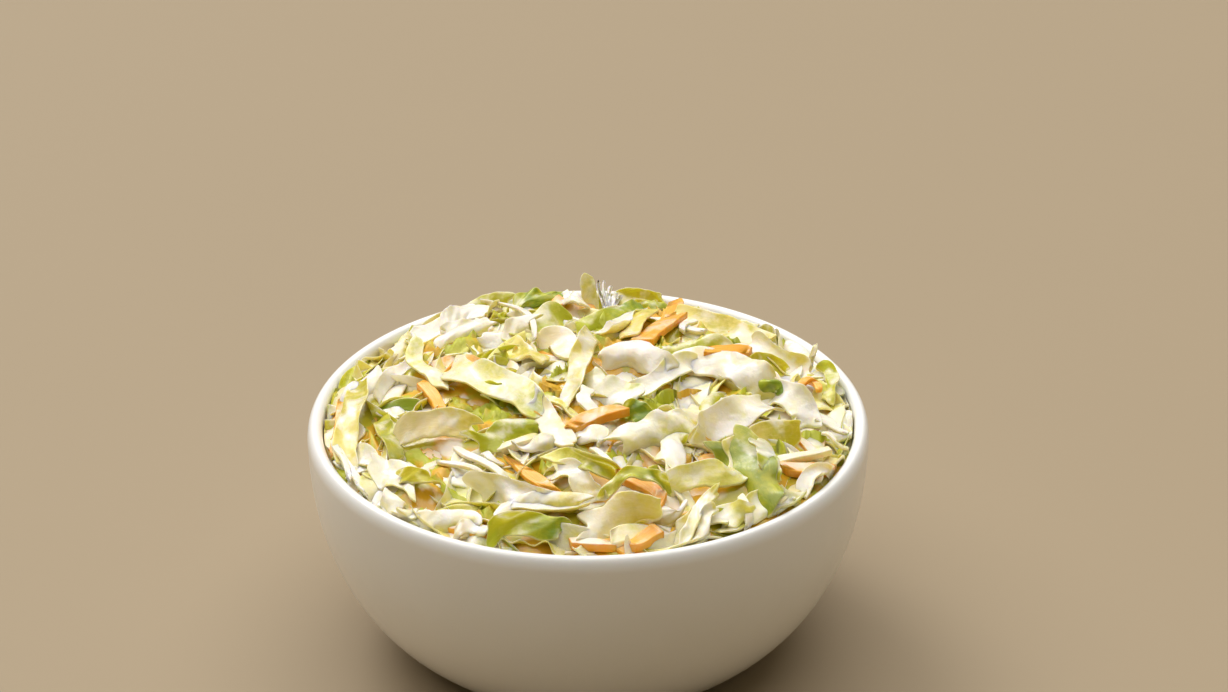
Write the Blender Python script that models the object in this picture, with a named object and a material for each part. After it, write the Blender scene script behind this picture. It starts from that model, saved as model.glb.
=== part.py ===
"""A round stoneware bowl heaped with coleslaw.

Two solids share one frame, in metres, +Z up, with the origin under the centre of the bowl's foot:
the bowl, turned from one profile, and the slaw, one heap that fills the bowl to its uneven top.
"""

import math
import random

import bmesh
import bpy
from mathutils import Matrix, Vector, noise

# The bowl.
BOWL_RADIUS = 0.070
BOWL_HEIGHT = 0.060
RIM_THICKNESS = 0.0038
FLOOR_THICKNESS = 0.0060
OUTER_DROP = 0.0690  # how far the outer curve would fall if nothing cut it off at the foot
OUTER_POWER = 2.36  # 2 is an ellipse, and more is squarer
INNER_POWER = 2.9
FOOT_RADIUS = 0.0385
FOOT_HEIGHT = 0.0020
FOOT_WIDTH = 0.0040
FOOT_RECESS = 0.0014

# The heap of slaw.
WALL_GAP = 0.0003
EDGE_BELOW_RIM = 0.0030
EDGE_WANDER = 0.0011
DOME_RISE = 0.0105
DOME_POWER = 2.3
PIT_DEPTH = 0.0016
PIT_SPACING = 0.011

# The shreds that stand out of the heap's top, each as (least, most).
SHRED_COUNT = 190
SHRED_LENGTH = (0.014, 0.034)
SHRED_WIDTH = (0.0042, 0.0088)
SHRED_CROWN = (0.0006, 0.0016)
SHRED_LIFT = (0.0000, 0.0024)
SHRED_TILT = (0.0004, 0.0030)
SHRED_SEED = 7

# Facets.
SHARP_ANGLE = 40  # degrees: an edge that bends more than this isn't shaded smooth
MERGE_DISTANCE = 1e-6
SEGMENTS = 72
OUTER_STEPS = 9
RIM_STEPS = 6
INNER_STEPS = 9
HEAP_RINGS = 30

RIM_CENTRE_Z = BOWL_HEIGHT - RIM_THICKNESS / 2
INNER_RADIUS = BOWL_RADIUS - RIM_THICKNESS
INNER_DROP = RIM_CENTRE_Z - FLOOR_THICKNESS
HEAP_RADIUS = INNER_RADIUS - WALL_GAP
EDGE_Z = BOWL_HEIGHT - EDGE_BELOW_RIM


def clear_scene():
    for old in list(bpy.data.objects):
        bpy.data.objects.remove(old, do_unlink=True)


def principled(name, colour, roughness):
    """A plain Principled material."""
    material = bpy.data.materials.new(name)
    material.use_nodes = True
    shader = material.node_tree.nodes["Principled BSDF"]
    shader.inputs["Base Color"].default_value = (*colour, 1.0)
    shader.inputs["Roughness"].default_value = roughness
    shader.inputs["Metallic"].default_value = 0.0
    material.diffuse_color = (*colour, 1.0)
    return material


def wall_point(radius, drop, power, turn):
    """A point of a superelliptic wall, turn radians below the middle of the rim."""
    reach = radius * math.cos(turn) ** (2 / power)
    height = RIM_CENTRE_Z - drop * math.sin(turn) ** (2 / power)
    return Vector((reach, 0, height))


def turn_at_height(drop, power, height):
    """The turn at which a superelliptic wall comes down to a height."""
    return math.asin(((RIM_CENTRE_Z - height) / drop) ** (power / 2))


def wall_points(radius, drop, power, first_turn, last_turn, steps):
    turns = [first_turn + (last_turn - first_turn) * i / steps for i in range(steps + 1)]
    return [wall_point(radius, drop, power, turn) for turn in turns]


def rim_points():
    """The round top of the rim, from its outer side over to its inner side, without its two ends."""
    middle = Vector((BOWL_RADIUS - RIM_THICKNESS / 2, 0, RIM_CENTRE_Z))
    turns = [math.pi * i / RIM_STEPS for i in range(1, RIM_STEPS)]
    return [middle + RIM_THICKNESS / 2 * Vector((math.cos(turn), 0, math.sin(turn))) for turn in turns]


def foot_points():
    """The underside, from the axis out to the foot ring and up to the outer wall."""
    recess_radius = FOOT_RADIUS - FOOT_WIDTH
    return [
        Vector((0, 0, FOOT_RECESS)),
        Vector((recess_radius - FOOT_RECESS, 0, FOOT_RECESS)),
        Vector((recess_radius, 0, 0)),
        Vector((FOOT_RADIUS, 0, 0)),
    ]


def bowl_profile():
    """The bowl's half section, from the axis under the foot, out, over the rim and down inside to the axis."""
    foot_turn = turn_at_height(OUTER_DROP, OUTER_POWER, FOOT_HEIGHT)
    outside = wall_points(BOWL_RADIUS, OUTER_DROP, OUTER_POWER, foot_turn, 0, OUTER_STEPS)
    inside = wall_points(INNER_RADIUS, INNER_DROP, INNER_POWER, 0, math.pi / 2, INNER_STEPS)
    return foot_points() + outside + rim_points() + inside


def shreds():
    """The shreds on the heap's top: each a place, a heading and sizes, drawn from one seed."""
    draw = random.Random(SHRED_SEED)
    laid = []
    for _ in range(SHRED_COUNT):
        reach = HEAP_RADIUS * math.sqrt(draw.random())
        around = draw.uniform(0, math.tau)
        laid.append(
            {
                "middle": Vector((reach * math.cos(around), reach * math.sin(around))),
                "heading": draw.uniform(0, math.tau),
                "half_length": draw.uniform(*SHRED_LENGTH) / 2,
                "half_width": draw.uniform(*SHRED_WIDTH) / 2,
                "crown": draw.uniform(*SHRED_CROWN),
                "lift": draw.uniform(*SHRED_LIFT),
                "tilt": draw.uniform(*SHRED_TILT),
            }
        )
    return laid


def shred_height(shred, place):
    """How far a shred stands above the dome at a place, or None where it isn't."""
    local = Matrix.Rotation(-shred["heading"], 2) @ (place - shred["middle"])
    along = local.x / shred["half_length"]
    across = local.y / shred["half_width"]
    if abs(along) > 1 or abs(across) > 1:
        return None
    return shred["lift"] + shred["tilt"] * along + shred["crown"] * (1 - across**2)


def dome_height(reach):
    """The smooth dome over the rim, at a distance from the axis."""
    return EDGE_Z + DOME_RISE * (1 - min(1.0, reach / HEAP_RADIUS) ** DOME_POWER)


def heap_top(place, laid):
    """The height of the heap's top at a place: the dome with its pits, or the highest shred there."""
    reach = place.length
    pits = PIT_DEPTH * noise.noise(Vector((place.x, place.y, 0)) / PIT_SPACING)
    ground = dome_height(reach) + pits - PIT_DEPTH / 2
    above = [height for height in (shred_height(shred, place) for shred in laid) if height is not None]
    inside = min(1.0, (HEAP_RADIUS - reach) / SHRED_WIDTH[1])
    wander = EDGE_WANDER * noise.noise(Vector((place.x, place.y, 1)) / PIT_SPACING)
    return ground + inside * max(above, default=0.0) + (1 - inside) * wander


def heap_profile():
    """The heap's half section with a flat top: from the axis on the floor, up the wall and back over the top."""
    bed = wall_points(
        HEAP_RADIUS,
        INNER_DROP - WALL_GAP,
        INNER_POWER,
        math.pi / 2,
        turn_at_height(INNER_DROP, INNER_POWER, EDGE_Z - 2 * EDGE_WANDER),
        INNER_STEPS - 1,
    )
    top = [Vector((HEAP_RADIUS * (1 - i / HEAP_RINGS), 0, EDGE_Z)) for i in range(HEAP_RINGS + 1)]
    return bed + top


def turned(profile):
    """A closed body turned about Z from a half section whose two ends lie on the axis."""
    body = bmesh.new()
    corners = [body.verts.new(point) for point in profile]
    edges = [body.edges.new(pair) for pair in zip(corners, corners[1:])]
    bmesh.ops.spin(
        body,
        geom=corners + edges,
        cent=(0, 0, 0),
        axis=(0, 0, 1),
        angle=math.tau,
        steps=SEGMENTS,
        use_merge=True,
        use_duplicate=False,
    )
    bmesh.ops.remove_doubles(body, verts=body.verts, dist=MERGE_DISTANCE)
    bmesh.ops.recalc_face_normals(body, faces=body.faces)
    return body


def placed(name, body, material):
    """The object made from a finished body."""
    mesh = bpy.data.meshes.new(name)
    body.to_mesh(mesh)
    body.free()
    mesh.materials.append(material)
    mesh.shade_smooth()
    mesh.set_sharp_from_angle(angle=math.radians(SHARP_ANGLE))
    piece = bpy.data.objects.new(name, mesh)
    bpy.context.scene.collection.objects.link(piece)
    return piece


def make_bowl():
    return placed("bowl", turned(bowl_profile()), principled("white_glaze", (0.86, 0.84, 0.79), 0.25))


def make_slaw():
    body = turned(heap_profile())
    laid = shreds()
    for corner in body.verts:
        if corner.co.z > EDGE_Z - EDGE_WANDER:
            corner.co.z = heap_top(corner.co.xy, laid)
    bmesh.ops.triangulate(body, faces=body.faces, quad_method="BEAUTY")
    return placed("slaw", body, principled("dressed_cabbage", (0.83, 0.80, 0.55), 0.35))


def main():
    clear_scene()
    make_bowl()
    make_slaw()


if __name__ == "__main__":
    main()
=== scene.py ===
"""A round white glazed bowl heaped with coleslaw: its glaze, cabbage, carrot, dressing and stage.

The file is laid out as a Blender add-on and is run as a script. The slaw is laid shred by shred on a
height map of the heap, so each shred rests on the ones before it. Sizes are in metres, +Z is up, and
-Y is the side of the bowl nearest the viewer.
"""

import math

import bmesh
import bpy
import numpy as np
from bpy.props import FloatProperty, FloatVectorProperty, IntProperty, PointerProperty
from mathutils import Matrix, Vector, noise


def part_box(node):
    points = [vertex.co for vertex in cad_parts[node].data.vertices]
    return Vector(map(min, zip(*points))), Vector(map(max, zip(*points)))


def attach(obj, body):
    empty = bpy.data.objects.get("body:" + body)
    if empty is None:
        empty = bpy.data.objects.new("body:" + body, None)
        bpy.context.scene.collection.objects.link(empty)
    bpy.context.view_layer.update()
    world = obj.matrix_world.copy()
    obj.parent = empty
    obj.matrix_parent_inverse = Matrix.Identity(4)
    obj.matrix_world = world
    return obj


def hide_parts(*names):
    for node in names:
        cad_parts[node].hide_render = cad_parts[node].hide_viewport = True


bl_info = {
    "name": "Bowl of Coleslaw",
    "version": (1, 0, 0),
    "blender": (4, 5, 0),
    "location": "3D View > Sidebar > Coleslaw",
    "description": "Makes a glazed bowl heaped with coleslaw, piece by piece",
    "category": "Add Mesh",
}

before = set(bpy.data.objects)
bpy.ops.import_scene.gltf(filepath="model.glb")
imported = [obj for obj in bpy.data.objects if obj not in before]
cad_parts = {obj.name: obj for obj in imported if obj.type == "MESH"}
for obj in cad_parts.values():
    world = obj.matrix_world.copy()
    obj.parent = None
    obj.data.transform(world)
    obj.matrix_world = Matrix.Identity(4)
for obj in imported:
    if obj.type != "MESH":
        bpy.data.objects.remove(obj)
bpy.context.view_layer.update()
BOWL_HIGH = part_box("bowl")[1]
MM = 0.001


# ---------------------------------------------------------------- settings


def length(name, default, description):
    return FloatProperty(name=name, default=default, description=description, unit="LENGTH", precision=5)


def colour(name, default, description):
    return FloatVectorProperty(
        name=name, default=default, description=description, subtype="COLOR", size=3, min=0, max=1
    )


class BowlSettings(bpy.types.PropertyGroup):
    rim_thickness: length("Rim Thickness", 3.8 * MM, "How thick the wall is at the rim")
    rim_fall: length("Rim Fall", 3.8 * MM, "How far down the rim's outer side is rounded")
    floor_thickness: length("Floor Thickness", 6.0 * MM, "How thick the bowl is at its middle")
    outer_drop: length("Outer Drop", 69.0 * MM, "How far the outer curve would fall past the foot")
    outer_power: FloatProperty(
        name="Outer Power", default=2.36, description="How square the outer curve is; 2 is an ellipse"
    )
    inner_power: FloatProperty(
        name="Inner Power", default=2.9, description="How square the inner curve is; 2 is an ellipse"
    )
    foot_radius: length("Foot Radius", 38.5 * MM, "The outer radius of the foot ring")
    foot_width: length("Foot Width", 4.0 * MM, "How wide the foot ring is")
    foot_height: length("Foot Height", 2.0 * MM, "How high the foot ring is")
    foot_recess: length("Foot Recess", 1.4 * MM, "How deep the underside is hollowed inside the foot ring")
    glaze: colour("Glaze", (0.91, 0.90, 0.88), "The colour of the white glaze")
    # A painted highlight: the rim is painted a cleaner, cooler white than the rest of the glaze.
    rim_glaze: colour("Rim Glaze", (0.89, 0.91, 0.94), "The cleaner white of the thick glaze on the rim")
    thin_glaze: colour("Thin Glaze", (0.85, 0.82, 0.75), "The colour of the glaze where it lies thin")
    bare_clay: colour("Bare Clay", (0.62, 0.53, 0.42), "The colour of the unglazed foot")


class HeapSettings(bpy.types.PropertyGroup):
    edge_below_rim: length("Edge Below Rim", 1.8 * MM, "How far the heap's edge lies below the rim")
    dome_rise: length("Dome Rise", 9.8 * MM, "How far the heap's middle stands above its edge")
    dome_power: FloatProperty(name="Dome Power", default=2.3, description="How flat the dome's top is")
    top_height: length("Top Height", 0.9 * MM, "How far the middles of the top shreds lie over the dome")
    depth: length("Laid Depth", 5.5 * MM, "How thick the laid shreds lie over the core")
    core_count: IntProperty(name="Core Shreds", default=110, description="How many only shape the core")
    fill_count: IntProperty(name="Fill Shreds", default=260, description="How many shreds fill the heap")
    edge_count: IntProperty(name="Edge Shreds", default=46, description="How many shreds lie along the wall")
    tuck_count: IntProperty(name="Tucked Shreds", default=50, description="How many fill the last gaps")
    seed: IntProperty(name="Seed", default=5, description="The seed of every random draw")


class CabbageSettings(bpy.types.PropertyGroup):
    white: colour("White", (0.91, 0.84, 0.61), "The pale heart of the cabbage")
    yellow: colour("Yellow", (0.79, 0.74, 0.19), "The yellow-green of the inner leaves")
    green: colour("Green", (0.48, 0.51, 0.022), "The green of the outer leaves")
    deep_green: colour("Deep Green", (0.19, 0.31, 0.02), "The darkest green of the outer leaves")


class CarrotSettings(bpy.types.PropertyGroup):
    flesh: colour("Flesh", (0.92, 0.40, 0.02), "The orange of the carrot")
    core: colour("Core", (0.94, 0.54, 0.09), "The lighter orange near the carrot's core")


class DressingSettings(bpy.types.PropertyGroup):
    cream: colour("Cream", (0.93, 0.88, 0.84), "The colour of the creamy dressing")
    # Whey and oil are partly painted shade: they give the deep gaps their warm amber and olive.
    whey: colour("Whey", (0.70, 0.40, 0.022), "The amber of thin dressing deep in the heap")
    oil: colour("Oil", (0.52, 0.48, 0.03), "The olive of thin dressing that green leaves have tinted")


class StageSettings(bpy.types.PropertyGroup):
    floor: colour("Floor", (0.325, 0.258, 0.172), "The colour of the plain floor")
    reach: length("Reach", 40.0, "How far the floor reaches from the bowl")
    light: colour("Light", (1.0, 0.97, 0.93), "The warm white of both lights")
    front_sky: colour("Front Sky", (0.112, 0.098, 0.060), "The dim light from the viewer's side")
    back_sky: colour("Back Sky", (0.42, 0.37, 0.28), "The brighter light from behind the bowl")


GROUPS = {
    "bowl": BowlSettings,
    "heap": HeapSettings,
    "cabbage": CabbageSettings,
    "carrot": CarrotSettings,
    "dressing": DressingSettings,
    "stage": StageSettings,
}


# ---------------------------------------------------------------- shader maths


class Value:
    """A shader socket that Python expressions can be written on."""

    def __init__(self, shades, socket):
        self.shades = shades
        self.socket = socket

    def maths(self, operation, *inputs):
        return self.shades.node("ShaderNodeMath", {"operation": operation}, *inputs)

    def __add__(self, other):
        return self.maths("ADD", self, other)

    def __radd__(self, other):
        return self.maths("ADD", other, self)

    def __sub__(self, other):
        return self.maths("SUBTRACT", self, other)

    def __rsub__(self, other):
        return self.maths("SUBTRACT", other, self)

    def __mul__(self, other):
        return self.maths("MULTIPLY", self, other)

    def __rmul__(self, other):
        return self.maths("MULTIPLY", other, self)

    def __abs__(self):
        return self.maths("ABSOLUTE", self)

    def step(self, low, high):
        """0 below low, 1 above high, and a smooth step between them."""
        settings = {"interpolation_type": "SMOOTHSTEP"}
        return self.shades.node("ShaderNodeMapRange", settings, self, low, high)


class Shades:
    """The nodes of one material."""

    def __init__(self, name):
        self.material = bpy.data.materials.new(name)
        self.material.use_nodes = True
        self.tree = self.material.node_tree
        self.shader = self.tree.nodes["Principled BSDF"]

    def set(self, socket, value):
        """Links a value to a socket, or sets the socket to a colour, a vector or a number."""
        if isinstance(value, Value):
            self.tree.links.new(value.socket, socket)
        elif hasattr(value, "__len__"):
            socket.default_value = (*value, 1.0) if len(socket.default_value) == 4 else tuple(value)
        else:
            socket.default_value = value

    def node(self, kind, settings, *inputs, output=0, **named):
        """A node with its settings, then its sockets by place or by name; returns one output."""
        made = self.tree.nodes.new(kind)
        for key, value in settings.items():
            setattr(made, key, value)
        for place, value in enumerate(inputs):
            self.set(made.inputs[place], value)
        for key, value in named.items():
            self.set(made.inputs[key.replace("_", " ")], value)
        return Value(self, made.outputs[output])

    def mix(self, factor, first, second):
        """One colour over another."""
        made = self.tree.nodes.new("ShaderNodeMix")
        made.data_type = "RGBA"
        for place, value in ((0, factor), (6, first), (7, second)):
            self.set(made.inputs[place], value)
        return Value(self, made.outputs[2])

    def attribute(self, name):
        return self.node("ShaderNodeAttribute", {"attribute_name": name}, output="Fac")

    def places(self):
        return self.node("ShaderNodeTexCoord", {}, output="Object")

    def strip(self):
        return self.node("ShaderNodeUVMap", {"uv_map": "strip"})

    def stretched(self, vector, scale):
        return self.node("ShaderNodeMapping", {}, Vector=vector, Scale=scale)

    def noise(self, vector, scale, detail=3.0, roughness=0.5, distortion=0.0):
        return self.node(
            "ShaderNodeTexNoise",
            {"noise_dimensions": "3D"},
            Vector=vector,
            Scale=scale,
            Detail=detail,
            Roughness=roughness,
            Distortion=distortion,
        )

    def upness(self):
        """How far the surface faces up: 1 on top, 0 on an upright side, -1 underneath."""
        normal = self.node("ShaderNodeNewGeometry", {}, output="Normal")
        return self.node("ShaderNodeSeparateXYZ", {}, normal, output="Z")

    def bump(self, height, strength, distance):
        return self.node("ShaderNodeBump", {}, Strength=strength, Distance=distance, Height=height)

    def finish(self, **sockets):
        """The finished material, once its shader's sockets are set."""
        for key, value in sockets.items():
            self.set(self.shader.inputs[key.replace("_", " ")], value)
        return self.material


# ---------------------------------------------------------------- materials


def glaze_material(bowl):
    """White glaze over stoneware: barely mottled, with a painted highlight of cleaner, cooler white on the
    rim, and bare under the foot.
    """
    shades = Shades("white_glaze")
    places = shades.places()
    cloud = shades.noise(places, 22.0, 3.0)
    speck = shades.noise(places, 900.0, 2.0, 0.6).step(0.70, 0.80)
    height = shades.node("ShaderNodeSeparateXYZ", {}, places, output="Z")
    # The band at the top of the rim is painted a cleaner, cooler white: a painted highlight.
    rim = height.step(BOWL_HIGH.z - bowl.rim_fall, BOWL_HIGH.z - 0.0005)
    thin = cloud.step(0.45, 0.75) * 0.25 + speck * 0.10
    glazed = shades.mix(rim, shades.mix(thin, bowl.glaze, bowl.thin_glaze), bowl.rim_glaze)
    foot = 1.0 - height.step(0.0002, 0.0006)
    clay = shades.mix(shades.noise(places, 700.0, 3.0), bowl.bare_clay, bowl.thin_glaze)
    ripple = shades.noise(places, 60.0, 2.0, 0.4)
    pits = shades.noise(places, 1500.0, 2.0, 0.5)
    bumps = shades.bump(ripple + pits * 0.05, 0.12, 0.0010)
    return shades.finish(
        Base_Color=shades.mix(foot, glazed, clay),
        Roughness=0.20 + foot * 0.5 + cloud * 0.10,
        Normal=bumps,
        Coat_Weight=0.35,
        Coat_Roughness=0.08,
        Subsurface_Weight=0.06,
        Subsurface_Radius=(0.004, 0.003, 0.002),
        Subsurface_Scale=1.0,
    )


def dressed(shades, under, dressing, fine, thickness):
    """Creamy dressing lying over a surface in patches, thicker on what faces up and none on its sides; the
    extra cream on what faces up is painted light from above.
    """
    places = shades.places()
    pools = shades.noise(places, 170.0, 2.0, 0.5, 0.5)
    lumps = shades.noise(places, 520.0, 2.5, 0.6)
    # The up-facing term lays more cream on tops: painted light from above, over the real dressing patches.
    wet_and_top_light = pools * 1.00 + lumps * 0.30 + shades.upness() * 0.50 + shades.attribute("coat") * 0.55
    film_and_top_light = wet_and_top_light.step(1.16, 1.46)
    thick = wet_and_top_light.step(1.42, 1.70)
    puckers = shades.noise(places, 260.0, 2.0, 0.5, 0.6)
    height = film_and_top_light * 0.5 + thick * 0.8 + lumps * (film_and_top_light * 0.3 + 0.1)
    height = height + fine * (1.0 - film_and_top_light) * 0.6 + puckers * 1.2
    coated_and_top_lit = shades.mix(film_and_top_light * 0.66, under, dressing.cream)
    return (
        shades.mix(thick * 0.85, coated_and_top_lit, dressing.cream),
        0.32 - film_and_top_light * 0.08,
        shades.bump(height, 0.35, thickness),
    )


def cabbage_material(name, cabbage, dressing):
    """Cabbage from pale heart to green leaf, veined along the shred, with edges painted paler: partly the
    paler cut, partly a painted highlight of edges catching the light.
    """
    shades = Shades(name)
    strip = shades.strip()
    green = shades.attribute("green")
    places = shades.places()
    patch = shades.noise(places, 110.0, 2.0, 0.5)
    across = shades.attribute("across")
    mottle = shades.noise(places, 420.0, 2.5, 0.6, 0.4)
    hue = green + (patch - 0.5) * 0.8 + (mottle - 0.5) * 0.55
    veins = shades.noise(shades.stretched(strip, (2.0, 9.0, 1.0)), 1.6, 3.0, 0.6, 0.3)
    rib = 1.0 - abs(across + (patch - 0.5) * 0.4).step(0.0, 0.30)
    leaf = shades.mix(hue.step(-0.05, 0.40), cabbage.white, cabbage.yellow)
    leaf = shades.mix(veins.step(0.52, 0.70) * 0.35 + rib * 0.25, leaf, cabbage.white)
    leaf = shades.mix(hue.step(0.34, 0.66), leaf, cabbage.green)
    leaf = shades.mix(hue.step(0.75, 1.15), leaf, cabbage.deep_green)
    leaf = shades.mix(veins.step(0.54, 0.72) * 0.22, leaf, cabbage.yellow)
    leaf = shades.mix(shades.attribute("tone").step(0.25, 1.0) * 0.25, leaf, dressing.whey)
    # Edges are painted paler: partly the paler cut, partly a painted highlight where edges catch the light.
    leaf = shades.mix(shades.attribute("cut").step(0.25, 0.90) * 0.42, leaf, cabbage.white)
    covered_and_top_lit, roughness, bumps = dressed(shades, leaf, dressing, veins, 0.00040)
    return shades.finish(
        Base_Color=covered_and_top_lit,
        Roughness=roughness,
        Normal=bumps,
        Subsurface_Weight=0.60,
        Subsurface_Radius=(0.0013, 0.0010, 0.0004),
        Subsurface_Scale=1.0,
        Coat_Weight=0.15,
        Coat_Roughness=0.14,
    )


def carrot_material(carrot, dressing):
    """Carrot with a paler core, fine fibres along the stick and dressing on top, creamier where it faces up
    as painted light from above.
    """
    shades = Shades("carrot")
    strip = shades.strip()
    fibres = shades.noise(shades.stretched(strip, (1.2, 14.0, 1.0)), 2.0, 3.0, 0.6)
    flesh = shades.mix(fibres.step(0.35, 0.75), carrot.flesh, carrot.core)
    covered_and_top_lit, roughness, bumps = dressed(shades, flesh, dressing, fibres, 0.0003)
    return shades.finish(
        Base_Color=covered_and_top_lit,
        Roughness=roughness,
        Normal=bumps,
        Subsurface_Weight=0.50,
        Subsurface_Radius=(0.0018, 0.0008, 0.0003),
        Subsurface_Scale=1.0,
        Coat_Weight=0.25,
        Coat_Roughness=0.15,
    )


def core_material(cabbage, dressing):
    """What shows in the deep gaps: green and yellow cabbage with amber patches under thin dressing, darker
    and warmer than the shreds above as painted shade of the gaps.
    """
    shades = Shades("deep_slaw")
    places = shades.places()
    patch = shades.noise(places, 110.0, 3.0)
    deep = shades.mix(patch.step(0.45, 0.60), cabbage.green, dressing.whey)
    deep = shades.mix(shades.noise(places, 70.0, 2.0).step(0.55, 0.70) * 0.5, deep, cabbage.yellow)
    return shades.finish(
        Base_Color=deep,
        Roughness=0.45,
        Normal=shades.bump(shades.noise(places, 420.0, 3.0), 0.6, 0.0006),
    )


def dressing_material(dressing):
    """Dressing run together in the gaps: creamy where it is thick, amber and olive where it is thin, which
    also paints the warm shade of the gaps.
    """
    shades = Shades("dressing")
    places = shades.places()
    patch = shades.noise(places, 120.0, 2.0, 0.5, 0.3)
    # The thin amber and olive are partly painted shade of the deep gaps.
    thin = shades.mix(patch.step(0.46, 0.56), dressing.whey, dressing.oil)
    thick = shades.noise(places, 95.0, 2.0).step(0.52, 0.62)
    return shades.finish(
        Base_Color=shades.mix(thick * 0.8, thin, dressing.cream),
        Roughness=0.22 + thick * 0.08,
        Normal=shades.bump(shades.noise(places, 500.0, 2.0), 0.3, 0.0004),
        Subsurface_Weight=0.4,
        Subsurface_Radius=(0.0020, 0.0015, 0.0006),
        Subsurface_Scale=1.0,
        Coat_Weight=0.2,
        Coat_Roughness=0.1,
    )


# ---------------------------------------------------------------- the bowl's curves

BOWL_SEGMENTS = 160
OUTER_STEPS = 36
INNER_STEPS = 30
MERGE_DISTANCE = 1e-6

def wall(radius, drop, power, first_turn, last_turn, steps):
    """Points of a superelliptic wall under the rim, as (reach, height)."""
    rim = BOWL_HIGH.z - bpy.context.scene.coleslaw_bowl.rim_thickness / 2
    turns = np.linspace(first_turn, last_turn, steps + 1)
    return [
        (radius * math.cos(turn) ** (2 / power), rim - drop * math.sin(turn) ** (2 / power))
        for turn in np.clip(turns, 0, math.pi / 2)
    ]


def turn_at(fall, drop, power):
    """The turn at which a superelliptic wall has fallen by fall."""
    return math.asin((fall / drop) ** (power / 2))


def arc(middle, radius, first, last, steps):
    """Points of an arc, as (reach, height), between two angles in degrees."""
    angles = np.radians(np.linspace(first, last, steps + 1))
    return [(middle[0] + radius * math.cos(a), middle[1] + radius * math.sin(a)) for a in angles]


def turned(profile, segments):
    """A closed body turned about Z from a half section, as (reach, height), with both ends on the axis."""
    body = bmesh.new()
    corners = [body.verts.new((reach, 0, height)) for reach, height in profile]
    edges = [body.edges.new(pair) for pair in zip(corners, corners[1:])]
    bmesh.ops.spin(
        body,
        geom=corners + edges,
        cent=(0, 0, 0),
        axis=(0, 0, 1),
        angle=math.tau,
        steps=segments,
        use_merge=True,
        use_duplicate=False,
    )
    bmesh.ops.remove_doubles(body, verts=body.verts, dist=MERGE_DISTANCE)
    bmesh.ops.recalc_face_normals(body, faces=body.faces)
    return body


def placed(name, body, material, slot, *replaced):
    """The finished piece: it rides on the whole object's one body."""
    mesh = bpy.data.meshes.new(name)
    body.to_mesh(mesh)
    body.free()
    mesh.materials.append(material)
    mesh.shade_smooth()
    piece = bpy.data.objects.new(name, mesh)
    bpy.context.scene.collection.objects.link(piece)
    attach(piece, "root")
    if replaced:
        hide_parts(*replaced)
    return piece


def bowl_profile(bowl):
    """The bowl's half section, from the axis under the foot, out, over the rim and down inside."""
    outer = BOWL_HIGH.x
    inner = outer - bowl.rim_thickness
    half = bowl.rim_thickness / 2
    rim_height = BOWL_HIGH.z - half
    soft = 0.5 * MM
    foot_inner = bowl.foot_radius - bowl.foot_width
    foot = [(0.0, bowl.foot_recess)]
    foot += [(foot_inner * i / 8, bowl.foot_recess) for i in range(1, 8)]
    foot += arc((foot_inner + soft, soft), soft, 180, 270, 3)
    foot += arc((bowl.foot_radius - soft, soft), soft, -90, 0, 4)
    outside = wall(
        outer,
        bowl.outer_drop,
        bowl.outer_power,
        turn_at(rim_height - bowl.foot_height, bowl.outer_drop, bowl.outer_power),
        turn_at(bowl.rim_fall - half, bowl.outer_drop, bowl.outer_power),
        OUTER_STEPS,
    )
    turns = np.linspace(0, math.pi / 2, 12)[1:]
    base = BOWL_HIGH.z - bowl.rim_fall
    rim = [(outer - half + half * math.cos(a), base + bowl.rim_fall * math.sin(a)) for a in turns]
    rim += arc((outer - half, rim_height), half, 90, 180, 9)[1:-1]
    inner_drop = rim_height - bowl.floor_thickness
    inside = wall(inner, inner_drop, bowl.inner_power, 0, math.pi / 2, INNER_STEPS)
    return foot + outside + rim + inside


# ---------------------------------------------------------------- the heap


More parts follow.
